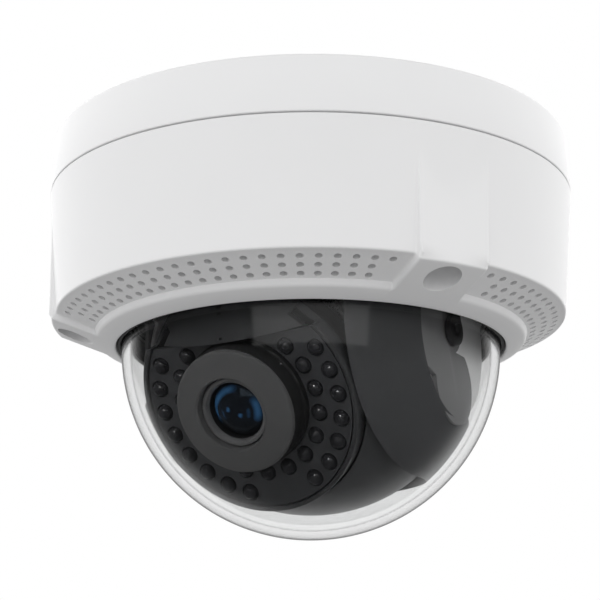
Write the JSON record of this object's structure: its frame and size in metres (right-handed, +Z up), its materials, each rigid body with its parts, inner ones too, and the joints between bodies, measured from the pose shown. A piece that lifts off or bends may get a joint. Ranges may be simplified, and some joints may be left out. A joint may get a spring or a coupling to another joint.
{
  "type": "ceiling dome security camera",
  "caption": "Ceiling dome camera: white round cover with three screw lugs, perforated underside and a clear bubble over a black ball with an infrared-ringed lens.",
  "frame": {"origin": "centre of the flat face that lies on the ceiling", "axes": "+Z up into the ceiling, the camera hangs towards -Z and its front is towards -Y, +X to the viewer's right"},
  "size_m": [0.111, 0.111, 0.084],
  "materials": {
    "white_paint": "fine satin powder coat",
    "black_rubber": "matt",
    "brass": "machined",
    "laminate": "solder mask over glass laminate",
    "zinc_steel": "zinc plated",
    "dark_plastic": "fine texture",
    "nylon": "moulded",
    "grey_plastic": "moulded",
    "clear_bubble": "polished clear polycarbonate",
    "led_board": "black solder mask and dark resin",
    "shield_rubber": "matt",
    "black_anodised": "black anodised",
    "coated_glass": "blue anti-reflection coating",
    "sensor_package": "glass-lidded chip"
  },
  "bodies": {
    "base": {"mounting_base": "white_paint", "cable_grommet": "black_rubber", "cover_seal": "black_rubber", "threaded_insert_1": "brass", "threaded_insert_2": "brass", "threaded_insert_3": "brass", "main_board": "laminate", "board_screw_1": "zinc_steel", "board_screw_2": "zinc_steel", "board_screw_3": "zinc_steel", "card_socket": "zinc_steel", "reset_switch": "dark_plastic", "network_header": "nylon", "power_terminal": "nylon", "pan_seat": "grey_plastic", "seat_screw_1": "zinc_steel", "seat_screw_2": "zinc_steel", "seat_screw_3": "zinc_steel"},
    "cover": {"cover_shell": "white_paint", "dome_gasket": "black_rubber", "dome_bubble": "clear_bubble", "clamp_ring": "grey_plastic", "clamp_screw_1": "zinc_steel", "clamp_screw_2": "zinc_steel", "clamp_screw_3": "zinc_steel", "cover_screw_1": "zinc_steel", "cover_screw_2": "zinc_steel", "cover_screw_3": "zinc_steel", "screw_seal_1": "black_rubber", "screw_seal_2": "black_rubber", "screw_seal_3": "black_rubber"},
    "pan_stage": {"pan_turntable": "grey_plastic", "pan_clip": "zinc_steel", "yoke": "grey_plastic", "yoke_screw_1": "zinc_steel", "yoke_screw_2": "zinc_steel", "ball_liner": "dark_plastic"},
    "tilt_stage": {"tilt_bracket": "zinc_steel", "module_shell": "dark_plastic", "tilt_screw_left": "zinc_steel", "tilt_screw_right": "zinc_steel"},
    "lens_module": {"led_housing": "dark_plastic", "led_board": "led_board", "light_shield": "shield_rubber", "lens_holder": "dark_plastic", "lens_barrel": "black_anodised", "lens_trim_ring": "shield_rubber", "front_lens": "coated_glass", "sensor_board": "laminate", "image_sensor": "sensor_package", "lens_screw_1": "zinc_steel", "lens_screw_2": "zinc_steel", "roll_clip": "zinc_steel"},
    "card": {"memory_card": "dark_plastic"},
    "button": {"reset_button": "nylon"}
  },
  "joints": [
    {"name": "cover_removal", "type": "slide", "parent": "base", "child": "cover", "axis": [0, 0, -1], "range_m": [0, 0.09]},
    {"name": "pan", "type": "hinge", "parent": "base", "child": "pan_stage", "pos_m": [0, 0, -0.019], "axis": [0, 0, 1], "range_deg": [-177.5, 177.5]},
    {"name": "tilt", "type": "hinge", "parent": "pan_stage", "child": "tilt_stage", "pos_m": [0, 0, -0.04427], "axis": [0.866, -0.5, 0], "range_deg": [-22, 57]},
    {"name": "lens_rotation", "type": "hinge", "parent": "tilt_stage", "child": "lens_module", "pos_m": [0, 0, -0.04427], "axis": [-0.4226, -0.732, -0.5344], "range_deg": [-177.5, 177.5]},
    {"name": "memory_card_slide", "type": "slide", "parent": "base", "child": "card", "axis": [0.866, 0.5, 0], "range_m": [0, 0.014]},
    {"name": "reset_press", "type": "slide", "parent": "base", "child": "button", "axis": [0, 0, 1], "range_m": [0, 0.0005], "stiffness_N_per_m": 300}
  ]
}
